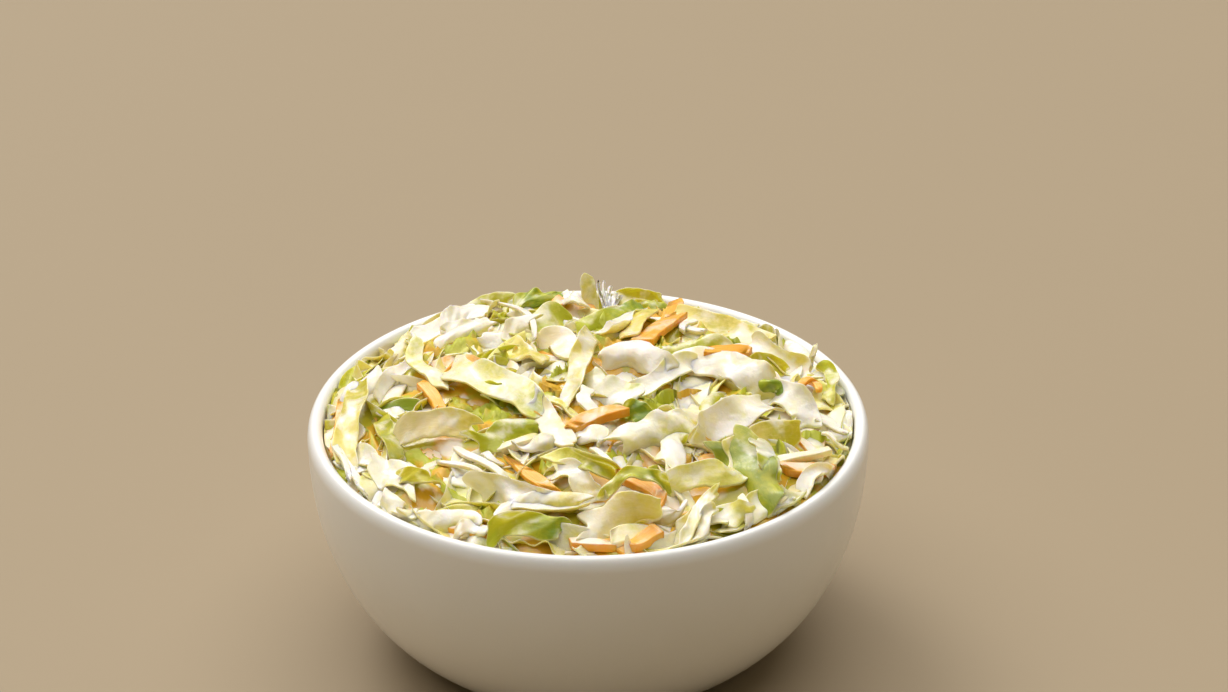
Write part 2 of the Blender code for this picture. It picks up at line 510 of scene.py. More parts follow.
class Heap:
    """The heap's surface while shreds are laid on it, as a square raster of heights."""

    cell = 0.5 * MM  # the side of one cell
    count = 300  # how many cells each side has
    outside_drop = 2.0 * MM  # how far below the rim it is outside the bowl
    end_span = 2.0 * MM  # how far round a shred's end its height is taken
    gap_span = 2.5 * MM  # how far round a place it is taken to find the lowest

    def __init__(self, settings, bowl):
        self.settings = settings
        self.draw = np.random.default_rng(settings.seed)
        self.inner = BOWL_HIGH.x - bowl.rim_thickness
        self.edge = BOWL_HIGH.z - settings.edge_below_rim
        side = (np.arange(self.count) + 0.5 - self.count / 2) * self.cell
        self.x, self.y = np.meshgrid(side, side)
        reach = np.hypot(self.x, self.y)
        self.height = self.dome(reach) - settings.depth
        half = bowl.rim_thickness / 2
        from_rim = np.abs(reach - (BOWL_HIGH.x - half))
        rim = BOWL_HIGH.z - half + np.sqrt(np.maximum(half**2 - from_rim**2, 0))
        self.on_rim = reach > self.inner
        self.height[self.on_rim] = rim[self.on_rim]
        self.height[reach > BOWL_HIGH.x] = BOWL_HIGH.z - self.outside_drop
        self.laid = {}

    def dome(self, reach):
        """The heap's smooth height at a distance from the axis."""
        inside = np.minimum(1.0, reach / self.inner)
        return self.edge + self.settings.dome_rise * (1 - inside**self.settings.dome_power)

    def cells(self, x, y):
        """The rows and columns of some places."""
        column = np.clip((x / self.cell + self.count / 2).astype(int), 0, self.count - 1)
        row = np.clip((y / self.cell + self.count / 2).astype(int), 0, self.count - 1)
        return row, column

    def under(self, points):
        """The heap's height under some points."""
        return self.height[self.cells(points[..., 0], points[..., 1])]

    def ground(self, place, span):
        """The heap's mean height round a place."""
        row, column = self.cells(np.array(place[0]), np.array(place[1]))
        reach = int(span / self.cell)
        patch = self.height[
            max(row - reach, 0) : row + reach + 1, max(column - reach, 0) : column + reach + 1
        ]
        return float(patch.mean())

    def cover(self, points):
        """Raises the heap to some points that now lie on it."""
        row, column = self.cells(points[..., 0].ravel(), points[..., 1].ravel())
        np.maximum.at(self.height, (row, column), points[..., 2].ravel())

    def smoothed(self, cells):
        """The heap's heights, each the mean of a square round it."""
        heights = np.where(self.on_rim, self.edge, self.height)
        steps = range(-cells, cells + 1)
        for axis in (0, 1):
            heights = sum(np.roll(heights, step, axis) for step in steps) / len(steps)
        return heights

    def lowest(self, tries, margin):
        """The place, of some random ones, where the heap is furthest below its dome."""
        reach = (self.inner - margin) * np.sqrt(self.draw.random(tries))
        around = self.draw.random(tries) * math.tau
        places = np.stack([reach * np.cos(around), reach * np.sin(around)], axis=1)
        gaps = [self.dome(np.hypot(*place)) - self.ground(place, self.gap_span) for place in places]
        return places[int(np.argmax(gaps))]


EDGE_ROW = 0.35 * MM  # how far inside a shred's edge its first extra row is
WALL_GAP = 0.35 * MM  # how far shreds stay from the bowl's wall
END_DOWN, END_UP = 1.0 * MM, 2.5 * MM  # how far a top shred's end may be moved to reach the dome
SAMPLES = (56, 18)  # places along and across a shred where it is compared with the heap
TOUCHING = 6  # the percentage of a shred that has to touch the heap
PROUD = 10  # the percentage of it that may stand over the dome by more than its most_proud


def unit(vectors):
    return vectors / np.maximum(np.linalg.norm(vectors, axis=-1, keepdims=True), 1e-9)


def rows(count, half):
    """Places from -1 to 1, evenly spaced but for one extra row close inside each edge."""
    inset = 1 - min(EDGE_ROW / half, 0.4)
    return np.concatenate([[-1], np.linspace(-inset, inset, count - 2), [1]])


def shred_rows(shred):
    """The places along and across a shred where its mesh has corners."""
    half_length = math.dist(shred["start"], shred["end"]) / 2
    return rows(shred["along"], half_length), rows(shred["across"], shred["width"] / 2)


def outline(shred, s, t):
    """Half the shred's width along it: narrower at its ends, and ragged, each side in its own way."""
    first, last = shred["ends"]
    ends = np.where(s < 0, first, last)
    half_width = shred["width"] / 2 * (1 - (1 - ends) * np.abs(s) ** shred["taper"])
    a, b = shred["phase"][4:6]
    reps = shred["reps"]
    left = np.sin(3.1 * reps * s + a) * 0.5 + np.sin(7.3 * reps * s + b) * 0.3
    left = left + np.sin(15.1 * reps * s + a + b) * 0.25
    right = np.sin(3.7 * reps * s + b) * 0.5 + np.sin(6.1 * reps * s + a) * 0.3
    right = right + np.sin(16.7 * reps * s + a - b) * 0.25
    return half_width * (1 + shred["rough"] * np.where(t < 0, left, right))


def relief(shred, s, t):
    """How far the shred's surface stands off its smooth curve: ruffled edges, waves and crumples."""
    phase = shred["phase"]
    reps = shred["reps"]
    wave = np.sin(math.pi * shred["waves"] * s + phase[0] + np.where(t > 0, phase[1], 0.0))
    crumple = (
        np.sin(2.9 * reps * s + 1.4 * t + phase[6]) * 0.5
        + np.sin(2.1 * reps * s - 2.6 * t + phase[7]) * 0.3
        + np.sin(5.7 * reps * s + 2.2 * t + phase[2]) * 0.2
        + np.sin(12.3 * reps * s - 3.4 * t + phase[3]) * 0.16
    )
    return shred["ruffle"] * wave * np.abs(t) ** 1.5 + shred["crumple"] * crumple


def ribbon(shred, s, t):
    """Points of a shred's middle surface, at places s along and t across, from its ends and its bends."""
    s = s[:, None]
    start, end = np.array(shred["start"]), np.array(shred["end"])
    forward = unit(end - start)
    side = unit(np.cross((0, 0, 1), forward))
    up = np.cross(forward, side)
    half = np.linalg.norm(end - start) / 2
    hump = 1 - s**2
    bend = up * shred["arch"] + side * shred["bow"]
    weave = up * shred["heave"] + side * shred["sway"]
    middle = (start + end) / 2 + forward * half * s + bend * hump + weave * np.sin(math.pi * s)
    tangent = unit(forward * half - 2 * s * bend + weave * math.pi * np.cos(math.pi * s))
    beside = unit(np.cross(np.broadcast_to(up, tangent.shape), tangent))
    above = np.cross(tangent, beside)
    turn = shred["roll"] + shred["twist"] * s
    outward = np.cos(turn) * beside + np.sin(turn) * above
    normal = np.cos(turn) * above - np.sin(turn) * beside
    t = t[None, :]
    half_width = outline(shred, s, t)
    cup = shred["cup"] * (1 + 0.6 * np.sin(2.3 * s + shred["phase"][1])) + 1e-3
    reach = half_width * np.sin(cup * t) / cup
    rise = half_width * (1 - np.cos(cup * t)) / cup + relief(shred, s, t)
    ragged = shred["rough"] * 2.0 * np.sin(3.3 * t + shred["phase"][3]) * np.abs(s) ** 4
    slide = (shred["skew"] * t + ragged) * half_width
    return (
        middle[:, None, :]
        + outward[:, None, :] * reach[..., None]
        + normal[:, None, :] * rise[..., None]
        + tangent[:, None, :] * slide[..., None]
    )


def kept_in(points, inner, over_rim):
    """Points drawn in from the bowl's wall, unless the shred may lie over the rim."""
    if over_rim:
        return points
    reach = np.hypot(points[..., 0], points[..., 1])
    limit = inner - WALL_GAP
    shrink = np.where(reach > limit, limit / np.maximum(reach, 1e-9), 1.0)
    pulled = points.copy()
    pulled[..., 0] *= shrink
    pulled[..., 1] *= shrink
    return pulled


def lay(heap, layer, kind, shred):
    """Settles a shred on the heap and keeps it.

    It is raised until a share of it shows, and lowered until a share of it touches. It is never raised
    by more than most_rise, and then it is lowered to stand no more than most_proud over the dome.
    """
    for key in ("start", "end"):
        x, y, lift = shred[key]
        ground = heap.ground((x, y), heap.end_span)
        if layer == "top" and not shred["over_rim"]:
            skin = float(heap.dome(math.hypot(x, y))) + heap.settings.top_height
            ground = min(max(skin, ground - END_DOWN), ground + END_UP)
        shred[key] = (x, y, ground + lift)
    samples = [np.linspace(-1, 1, count) for count in SAMPLES]
    fine = kept_in(ribbon(shred, *samples), heap.inner, shred["over_rim"])
    deep = heap.under(fine) - fine[..., 2]
    least, most = np.percentile(deep, shred["shown"]), np.percentile(deep, 100 - TOUCHING)
    shift = min(max(0.0, least), most, shred["most_rise"])
    proud = fine[..., 2] + shift - heap.dome(np.hypot(fine[..., 0], fine[..., 1]))
    shift -= max(0.0, np.percentile(proud, 100 - PROUD) - shred["most_proud"])
    fine[..., 2] += shift
    coarse = kept_in(ribbon(shred, *shred_rows(shred)), heap.inner, shred["over_rim"])
    coarse[..., 2] += shift
    shred["points"] = coarse
    fine[..., 2] += shred["thickness"] / 2
    heap.cover(fine)
    heap.laid.setdefault((layer, kind), []).append(shred)


# What both kinds of leaf share, and what all kinds of stick share.
LEAF = {"bow": (-2.5, 2.5), "sway": (-1.4, 1.4), "heave": (-0.9, 0.9)}
STICK = {"cup": (0.0, 0.0), "ruffle": (0.0, 0.0)}

# Each size of a kind of shred is drawn between its least and its most: lengths in mm, cup and twist in
# radians, rough and ends as shares of the width, and green from 0 for pale to 1 for the outer leaves.
KINDS = {
    "pale": {
        "length": (16, 28), "width": (7.5, 12.5), "thickness": (0.6, 0.95), "cup": (-0.9, 0.9),
        "twist": (-0.8, 0.8), "arch": (-1.0, 3.2), "ruffle": (0.0, 0.9), "crumple": (0.20, 0.60),
        "rough": (0.04, 0.12), "ends": (0.70, 1.05), "green": (0.0, 0.45), **LEAF,
    },
    "green": {
        "length": (14, 25), "width": (7.0, 11.0), "thickness": (0.45, 0.75), "cup": (-1.1, 1.1),
        "twist": (-1.0, 1.0), "arch": (-1.0, 3.0), "ruffle": (0.3, 1.3), "crumple": (0.30, 0.80),
        "rough": (0.05, 0.14), "ends": (0.60, 1.05), "green": (0.40, 1.0), **LEAF,
    },
    "stem": {
        "length": (10, 18), "width": (2.8, 4.6), "thickness": (1.6, 2.4), "twist": (-0.3, 0.3),
        "arch": (-0.6, 1.4), "bow": (-1.5, 1.5), "crumple": (0.05, 0.15), "rough": (0.02, 0.06),
        "ends": (0.6, 1.0), "green": (-0.15, 0.25), "sway": (-0.5, 0.5), "heave": (-0.3, 0.3), **STICK,
    },
    "fine": {
        "length": (12, 24), "width": (1.3, 2.3), "thickness": (0.8, 1.2), "twist": (-0.6, 0.6),
        "arch": (-0.5, 2.0), "bow": (-1.8, 1.8), "crumple": (0.05, 0.20), "rough": (0.03, 0.10),
        "ends": (0.4, 0.9), "green": (-0.1, 0.35), "sway": (-0.7, 0.7), "heave": (-0.4, 0.4), **STICK,
    },
    "carrot": {
        "length": (11, 17), "width": (2.6, 3.4), "thickness": (2.0, 2.6), "twist": (-0.4, 0.4),
        "arch": (-0.5, 1.4), "bow": (-1.2, 1.2), "crumple": (0.03, 0.10), "rough": (0.01, 0.05),
        "ends": (0.55, 1.0), "green": (0.0, 0.0), "sway": (-0.2, 0.2), "heave": (-0.1, 0.1), **STICK,
    },
}

# What shreds share that stand up at the back, that lie straight, and that are fine strands standing up.
STANDING = {
    "over_rim": True, "arch": 0.4, "bow": 0.4, "sway": 0.2, "heave": 0.2, "ruffle": 0.1, "crumple": 0.1,
    "twist": 0.3, "cup": 0.3, "rough": 0.05,
}
STRAIGHT = {"arch": 0.5, "bow": 0.5, "sway": 0.4, "heave": 0.2, "twist": 0.3, "cup": 0.3}
WISP = {**STANDING, "thickness": 0.7, "ends": (0.9, 0.5)}

# The shreds on top, in the order they lie: kind, one end and the other as (x, y, lift) in mm, width in mm,
# roll in degrees, greenness, how much dressing covers it, and whatever else is its own.
TOP = (
    ("green", (-35, 54, 0), (-21, 60, 0), 7, 30, 0.60, 0.45, {"over_rim": True, "heave": 0.3, "arch": 0.5}),
    ("green", (-21, 56, 0), (-9, 59, 0.5), 7, 35, 0.95, 0.05, {"ruffle": 1.2, "crumple": 0.8, "waves": 3}),
    ("pale", (-47, 40, 0), (-31, 52, 0), 7, 15, 0.15, 0.85, {"heave": 0.3, "arch": 0.5}),
    ("pale", (-39, 43, 0.5), (-26, 52, 0.5), 7, 20, 0.05, 0.90, {"arch": 0.5}),
    ("carrot", (-11, 52, 1), (-7, 59, 2), 3.6, 10, 0, 0.10),
    ("carrot", (-5, 57, 1), (0, 54, 1), 3.6, 10, 0, 0.10),
    ("green", (3, 60, 0.5), (20, 59, 0.5), 6, 35, 0.62, 0.35,
     {"arch": 0.2, "heave": 0.2, "sway": 0.4, "bow": 1}),
    ("green", (10, 56, 0.5), (20, 58, 1), 4, 35, 0.80, 0.10, {"arch": 0.5, "heave": 0.2}),
    ("pale", (-8, 62, 2), (-1, 50, 1), 4.5, 15, 0.0, 0.85, {"arch": 1}),
    ("green", (0.5, 55, -1), (-0.5, 60, 8), 4.4, 0, 0.42, 0.78,
     {**STANDING, "ends": (1.0, 0.45), "taper": 8.0, "skew": 0.1}),
    ("fine", (4.4, 54, 0), (2.2, 65, 5.5), 1.1, 0, 0.0, 1.6, WISP),
    ("fine", (4.8, 54, 0), (3.8, 65, 4.5), 1.0, 0, 0.0, 1.6, WISP),
    ("fine", (5.0, 54, 0), (5.8, 65, 3.5), 1.3, 0, 0.0, 1.6, WISP),
    ("fine", (5.4, 54, 0), (7.8, 64, 2.5), 1.3, 0, 0.0, 1.6, WISP),
    ("fine", (5.8, 54, 0), (9.6, 63, 1.5), 1.0, 0, 0.0, 1.6, WISP),
    ("green", (22, 54, 1), (30, 47, 1), 4, 20, 0.75, 0.10),
    ("pale", (22, 47, 0), (46, 34, 0), 9, 15, 0.45, 0.35, {"bow": 1.5, "rough": 0.08}),
    ("green", (18, 22, 0), (36, 20, 0), 7, 30, 0.62, 0.35),
    ("stem", (22, 42, 1), (30, 34, 1), 2.0, 0, 0.0, 0.9, {"thickness": 1.2}),
    ("stem", (24, 33, 1), (28, 42, 1.5), 1.8, 0, 0.0, 0.9, {"thickness": 1.2}),
    ("green", (40, 16, 0), (50, 18, 0), 5, 40, 0.55, 0.10),
    ("pale", (41, 28, 0.5), (57, 21, 0.5), 8, 20, 0.22, 0.65, {"ruffle": 0.6}),
    ("fine", (57, 22, 0), (58, 26, 6), 1.5, 0, 0.1, 0.60),
    ("green", (60, 6, 0), (59, 24, 2), 3.5, -30, 0.70, 0.20),
    ("carrot", (53, 9, 0), (58, 13, 1), 2, 0, 0, 0.20, {"thickness": 1.2}),
    ("carrot", (55, 14, 0), (58, 8, 1), 1.8, 0, 0, 0.20, {"thickness": 1.2}),
    ("pale", (54, -2, 0), (64, -12, 0), 7, 10, 0.10, 0.80),
    ("pale", (45, 2, 1), (54, -10, 1), 8, 20, 0.15, 0.80),
    ("fine", (56, -8, 1), (64, -11, 1), 1.8, 0, 0.1, 0.60),
    ("fine", (57, -12, 1), (64, -15, 1), 1.6, 0, 0.1, 0.60),
    ("pale", (-60, 20, -1), (-46, 39, -0.5), 6.5, 12, 0.40, 0.35, {"heave": 0.3}),
    ("pale", (-62, 0, 0), (-52, 14, 1), 7, 20, 0.05, 0.90),
    ("pale", (-53, 3, 1), (-44, 28, 2), 4, 20, 0.0, 0.95),
    ("carrot", (-62, -20, 0), (-62, 4, 1), 2.6, 0, 0, 0.15),
    ("pale", (-58, -27, 0), (-57, 7, 1.5), 6, -10, 0.42, 0.30),
    ("fine", (-61, -20, 1), (-54, -42, 1), 2.0, 0, 0.0, 0.80),
    ("fine", (-62, -14, 0), (-57, -33, 0.5), 1.6, 0, 0.0, 0.80),
    ("pale", (-38, 38, 1), (-27, 44, 1), 5, 30, 0.05, 0.90),
    ("pale", (-40, 30, 1), (-26, 34, 1.5), 4.5, 30, 0.05, 0.95),
    ("pale", (-27, 30, 1), (-15, 33, 1.5), 6, 30, 0.05, 0.95, {"ruffle": 0.8}),
    ("green", (-26, 47, 1), (-21, 50, 1), 3, 20, 0.70, 0.10),
    ("pale", (-20, 24, 1), (-12, 10, 1), 6, 10, 0.48, 0.20),
    ("pale", (-13, 24, 0.5), (-3, 14, 0.5), 7, 20, 0.10, 0.60),
    ("carrot", (-36, 16, 0), (-26, 14, 0), 3, 20, 0, 0.35, {"arch": 3.5}),
    ("carrot", (-42, 4, 2), (-36, -10, 0.5), 3, 10, 0, 0.00, {"bow": 1}),
    ("green", (-26, -4, 0), (-16, -9, 0), 6, 45, 0.85, 0.10),
    ("pale", (-35, 11, 1), (-11, -14, 0.5), 9, 20, 0.40, 0.45, {"ruffle": 0.7}),
    ("pale", (-37, 1, 1), (-43, 22, 5.5), 4.4, 0, 0.45, 0.45),
    ("green", (-17, 28, 0), (-5, 42, 0.3), 8, 22, 0.60, 0.35, {"arch": 0.8, "cup": -0.4, "twist": 0.4}),
    ("green", (-3, 29, 0), (14, 51, 1), 6.5, 35, 0.88, 0.15, {"arch": 1}),
    ("fine", (-29, 60, 1), (-14, 22, 2), 1.6, 0, 0.0, 1.0, {"bow": 5, "over_rim": True}),
    ("pale", (3, 28, 0.5), (12, 47, 1), 6, -10, 0.0, 0.85),
    ("pale", (9.5, 26, 1), (16, 47, 1.5), 6, -20, 0.35, 0.15,
     {"tone": 1.0, "arch": 1, "bow": 0.3, "sway": 0.2, "skew": 0}),
    ("carrot", (20.5, 46, 1.5), (22.5, 59, 4), 4.4, -10, 0, 0.05, {"arch": 0.3}),
    ("carrot", (13.5, 24, 2), (23, 42, 3.5), 5.4, -10, 0, 0.25, {"arch": 0.3, "bow": 0.3}),
    ("green", (-1, 3, 0), (13, -9, 1), 8, 30, 0.75, 0.70),
    ("pale", (-6, -12, 0.5), (1, 22, 5), 5.5, 0, 0.30, 0.60, {"twist": 1.0}),
    ("pale", (11, -3, 1), (28, 12, 2), 6, 30, 0.08, 0.80, {"ruffle": 0.9}),
    ("pale", (24, 12, 1.5), (46, 1, 1), 9, 30, 0.18, 0.75, {"arch": 2, "ruffle": 1.0, "waves": 3}),
    ("pale", (4, 8, 0.5), (21, 5, 0.5), 8, 40, 0.0, 0.95, {"arch": 3.5, "thickness": 1.3}),
    ("carrot", (29, 14, 2.5), (41, 20, 2.5), 3.8, 10, 0, 0.05, {"arch": 0.4}),
    ("green", (44, 3, 0), (48, -1, 0), 4, 20, 1.0, 0.0),
    ("pale", (45, 9, 1), (49, 3, 1.5), 3.5, 10, 0.0, 1.0),
    ("pale", (25, -27, 1), (45, -8, 2), 9, 35, 0.20, 0.80, {"cup": 0.6, "arch": 2}),
    ("pale", (33, -33, 1), (51, -19, 1), 10, 40, 0.50, 0.45),
    ("carrot", (46, -33, 2), (59, -27, 1.5), 3.8, 10, 0, 0.40),
    ("stem", (43, -31, 1), (59, -20, 1.5), 2.6, 0, 0.1, 0.60, {"arch": 1}),
    ("pale", (52, -40, 0), (60, -30, 0.5), 5, 10, 0.1, 0.70),
    ("pale", (45, -30, 1), (50, -43, 0.5), 2.5, 0, 0.50, 0.60),
    ("pale", (40, -51, 0), (50, -40, 1), 8, 20, 0.40, 0.60),
    ("green", (33, -27, 3), (42, -48, 1), 12, 30, 1.0, 0.05, {"fade": 0.0, "arch": 1, "cup": -0.5}),
    ("green", (43, -40, 1), (40, -30, 4), 5.5, 10, 0.80, 0.45, {"arch": 0.8, "ends": (1.0, 0.3)}),
    ("stem", (-22, -28, 0.5), (-12, -23, 0.5), 2.4, 0, 0.1, 0.30),
    ("green", (-27, -27, 0.5), (-13, -21, 1), 7, 40, 0.72, 0.25),
    ("green", (-51, -6, 0.5), (-46, -26, 0.5), 4.5, 10, 0.85, 0.10),
    ("pale", (-11, -7, 1), (-2, -20, 1), 2.5, 0, 0.40, 0.20),
    ("pale", (-2, -4, 1), (3, -17, 1.5), 4, 0, 0.0, 0.95),
    ("pale", (-14, -11, 1.5), (-3, -28, 1), 6.5, 15, 0.15, 0.60),
    ("pale", (-52, -30, 1), (-40, -40, 1), 8, 20, 0.30, 0.70),
    ("pale", (-18, -26, 0), (-8, -28, 0), 5, 20, 0.10, 0.80, {"arch": 0.5}),
    ("pale", (-3, -22, 0), (4, -27, 0), 5, 20, 0.15, 0.70, {"arch": 0.5}),
    ("pale", (-46, -46, 0), (-36, -52, 0), 6, 20, 0.30, 0.60, {"arch": 0.5}),
    ("green", (-45, -36, 1.5), (-35, -40, 1), 4, 30, 0.75, 0.10),
    ("pale", (-49, -42, 0.5), (-40, -48, 0.5), 7, 30, 0.15, 0.70),
    ("pale", (-47, -19, 1), (-28, -22, 1.5), 7, 50, 0.12, 0.35,
     {"ends": (0.9, 0.9), "skew": 0.5, "cup": 0.3}),
    ("fine", (-36, -30, 1), (-24, -38, 1), 1.6, 0, 0.0, 0.95),
    ("fine", (-32, -25, 1), (-18, -41, 1), 2.2, 0, 0.0, 0.95),
    ("fine", (-25, -29, 1.5), (-20, -34, 1.5), 2.2, 0, 0.0, 0.95),
    ("pale", (-8, -40, 0.5), (3, -49, 0.5), 7, 30, 0.10, 0.70),
    ("pale", (18, -36, 1), (25, -22, 1), 7, 10, 0.50, 0.70),
    ("pale", (7, -29, 1), (27, -17, 1.5), 9, 35, 0.30, 0.70, {"ruffle": 1.1, "waves": 3}),
    ("green", (8, -14, 1.5), (17, -18, 1.5), 6, 35, 1.1, 0.05),
    ("carrot", (-4, -24, 2.5), (9, -15, 3), 3.8, 10, 0, 0.20),
    ("green", (-9, -36, 1), (8, -41, 1.5), 5.5, 50, 0.70, 0.20, {"ends": (0.8, 0.8), "arch": 1.5}),
    ("fine", (1, -28, 1.5), (9, -38, 1.5), 1.8, 0, 0.0, 0.90),
    ("carrot", (26, -33, -1), (31, -30, -1), 3, 0, 0, 0.00),
    ("pale", (19, -44, 1), (37, -37, 1.5), 6.5, 40, 0.38, 0.45),
    ("pale", (-27, -43, 1), (-3, -51, 1), 8, 35, 0.12, 0.75),
    ("carrot", (-20, -31, 3), (-3, -50, 3), 3.4, 10, 0, 0.00,
     {"ends": (0.05, 0.05), "taper": 1.6, "thickness": 1.2}),
    ("pale", (30, -55, 0.5), (38, -52, 1.5), 7, 30, 0.25, 0.55, {"arch": 0.5}),
    ("pale", (21.5, -61, 0), (31, -46, 3), 3.0, 10, 0.25, 0.45, STRAIGHT),
    ("pale", (26, -60, 0.5), (30, -51, 2.5), 3.2, 10, 0.20, 0.60, STRAIGHT),
    ("stem", (38, -55, 0.5), (36, -46, 2), 2.2, 0, 0.10, 0.60, {"thickness": 1.2}),
    ("green", (-23, -60, 0.5), (-5, -59, 0.5), 6, 50, 0.75, 0.20),
    ("pale", (-21, -54, 1), (-1, -52, 1), 7, 45, 0.30, 0.55, {"cup": -0.8}),
    ("pale", (11, -52, 0.5), (23, -53, 1.5), 6, 40, 0.1, 0.85, {"ruffle": 0.9}),
    ("pale", (-1, -58, 0.5), (16, -55, 1.5), 9, 50, 0.25, 0.50),
    ("carrot", (7, -42, 3), (18, -51, 3), 3.8, 10, 0, 0.10),
    ("green", (4, -50, 1.5), (20, -47, 1.5), 3.4, 30, 0.75, 0.15, {"arch": 5.5}),
    ("carrot", (10, -63, 0.5), (17, -58, 1), 3.4, 10, 0, 0.25),
    ("pale", (-31, -58, 0.3), (-25.5, -59, 0.3), 6, 50, 0.1, 0.60, {"ends": (0.4, 0.4), "arch": 1}),
    ("pale", (-41, -50, 0.5), (-25, -56, 0.5), 6.5, 45, 0.12, 0.70, {"ends": (0.3, 0.3)}),
)
# The sizes of a shred that are lengths in mm.
LENGTHS = ("arch", "bow", "ruffle", "crumple", "thickness", "sway", "heave")


LOWEST_TRIES = 24  # how many places are compared to find a low one
LOWEST_MARGIN = 3.0 * MM  # how far from the wall those are
WALL_BAND = 10 * MM  # shreds laid this close to the wall lie along it
END_LIFT = (-1.0, 2.5)  # how far a filling shred's ends are lifted, in mm
REP_LENGTH = 14 * MM  # the length of shred over which its ragged edge repeats


def drawn(heap, kind, start=None, end=None, **chosen):
    """A shred of a kind: what isn't chosen is drawn at random."""
    draw = heap.draw
    sizes = KINDS[kind]

    def pick(name):
        return float(draw.uniform(*sizes[name]))

    shred = {
        "roll": float(draw.normal(0.1, 0.55)),
        "waves": float(draw.uniform(1.2, 2.6)),
        "phase": draw.uniform(0, math.tau, 8),
        "ends": (pick("ends"), pick("ends")),
        "taper": float(draw.uniform(4.0, 14.0)),
        "skew": float(draw.uniform(-1.0, 1.0)),
        "fade": float(draw.uniform(-0.40, 0.40)),
        "coat": float(draw.uniform(0.0, 1.0)),
        "tone": float(draw.random()),
        "shown": float(draw.uniform(25, 50)),
        "along": 11,
        "across": 6 if sizes["width"][1] > 5 else 4,
        "over_rim": False,
        "most_rise": 9 * MM,
        "most_proud": -0.6 * MM,
    }
    for name in ("width", *LENGTHS):
        shred[name] = pick(name) * MM
    for name in ("cup", "twist", "rough", "green"):
        shred[name] = pick(name)
    size = chosen.pop("size", pick("length") * MM)
    if start is None:
        x, y = heap.lowest(LOWEST_TRIES, LOWEST_MARGIN)
        heading = float(draw.uniform(0, math.tau))
        reach = math.hypot(x, y)
        if reach > heap.inner - WALL_BAND:
            heading = math.atan2(x, -y) + float(draw.normal(0, 0.5))
        dx, dy = math.cos(heading) * size / 2, math.sin(heading) * size / 2
        lifts = draw.uniform(*END_LIFT, 2) * MM
        start = (x - dx, y - dy, float(lifts[0]))
        end = (x + dx, y + dy, float(lifts[1]))
    shred["start"], shred["end"] = start, end
    shred["reps"] = math.dist(start, end) / REP_LENGTH
    shred.update(chosen)
    return shred


FILL_MIX = {"pale": 0.48, "green": 0.28, "stem": 0.10, "carrot": 0.14}
# The shreds along the wall: how far each strays round it, as a share of their spacing, half the angle
# that it spans in radians, its distance from the wall and its ends' lift in mm.
WALL_STRAY, WALL_TURN, WALL_INSET, WALL_LIFT = 0.4, (0.08, 0.14), (2.5, 5.5), (-0.5, 1.2)
# The leaves on top where the table doesn't say: how rough they are, and how crumpled in mm.
TOP_ROUGH, TOP_CRUMPLE = (0.09, 0.21), (0.35, 0.80)
TUCK_LENGTH = (8.0, 13.0)  # in mm
# The heap as it was last laid, for the operators that make its pieces.
heap_now = {}


def lay_heap(settings, bowl):
    """Lays the whole heap: first the shreds that only shape the core, then the ones that show."""
    heap = Heap(settings, bowl)
    names, weights = list(FILL_MIX), list(FILL_MIX.values())
    for _ in range(settings.core_count):
        lay(heap, "core", "pale", drawn(heap, "pale"))
    heap.core = heap.height.copy()
    for _ in range(settings.fill_count):
        kind = str(heap.draw.choice(names, p=weights))
        lay(heap, "fill", kind, drawn(heap, kind))
    for i in range(settings.edge_count):
        kind = str(heap.draw.choice(names, p=weights))
        stray = float(heap.draw.uniform(-WALL_STRAY, WALL_STRAY))
        around = (i + stray) / settings.edge_count * math.tau
        turn = float(heap.draw.uniform(*WALL_TURN))
        reach = heap.inner - float(heap.draw.uniform(*WALL_INSET)) * MM
        lifts = heap.draw.uniform(*WALL_LIFT, 2) * MM
        start, end = (
            (reach * math.cos(angle), reach * math.sin(angle), float(lift))
            for angle, lift in zip((around - turn, around + turn), lifts)
        )
        lay(heap, "fill", kind, drawn(heap, kind, start, end, most_rise=3.0 * MM, most_proud=1.2 * MM))
    for kind, start, end, width, roll, green, coat, *special in TOP:
        chosen = {key: value * MM if key in LENGTHS else value for key, value in dict(*special).items()}
        start, end = (tuple(part * MM for part in place) for place in (start, end))
        chosen.update(width=width * MM, roll=math.radians(roll), green=green, coat=coat)
        chosen.setdefault("fade", 0.15)
        chosen.setdefault("rough", float(heap.draw.uniform(*TOP_ROUGH)))
        chosen.setdefault("crumple", float(heap.draw.uniform(*TOP_CRUMPLE)) * MM)
        chosen.update(along=21, across=10, shown=10.0, most_rise=2.4 * MM, most_proud=9 * MM)
        if kind in ("carrot", "stem", "fine"):
            chosen.update(along=15, across=4, rough=0.09, crumple=0.12 * MM, most_rise=3.0 * MM)
        lay(heap, "top", kind, drawn(heap, kind, start, end, **chosen))
    for _ in range(settings.tuck_count):
        kind = str(heap.draw.choice(names, p=weights))
        size = float(heap.draw.uniform(*TUCK_LENGTH)) * MM
        flat = {"arch": 0.2 * MM, "heave": 0.1 * MM, "roll": float(heap.draw.normal(0.0, 0.25))}
        flat.update(most_proud=-1.6 * MM, most_rise=1.0 * MM)
        lay(heap, "fill", kind, drawn(heap, kind, size=size, **flat))
    heap_now["heap"] = heap
    return heap


# ---------------------------------------------------------------- shreds to meshes

# What each corner of a shred carries for its material: how green it is, how much dressing covers it, how
# deep its tone is, whether it is on an edge (painted paler for the cut and as a painted highlight), and its
# place across the shred.
SHRED_LAYERS = ("green", "coat", "tone", "cut", "across")
STRIP_UNIT = 20 * MM  # the length of shred that one unit of its strip map covers
STRIP_SHIFT = 5  # how far a shred's strip map is moved for each radian of its first two phases
BEVEL_ANGLE = 50  # degrees: a stick's edge that bends more than this is bevelled
BEVEL_WIDTH = 0.28 * MM

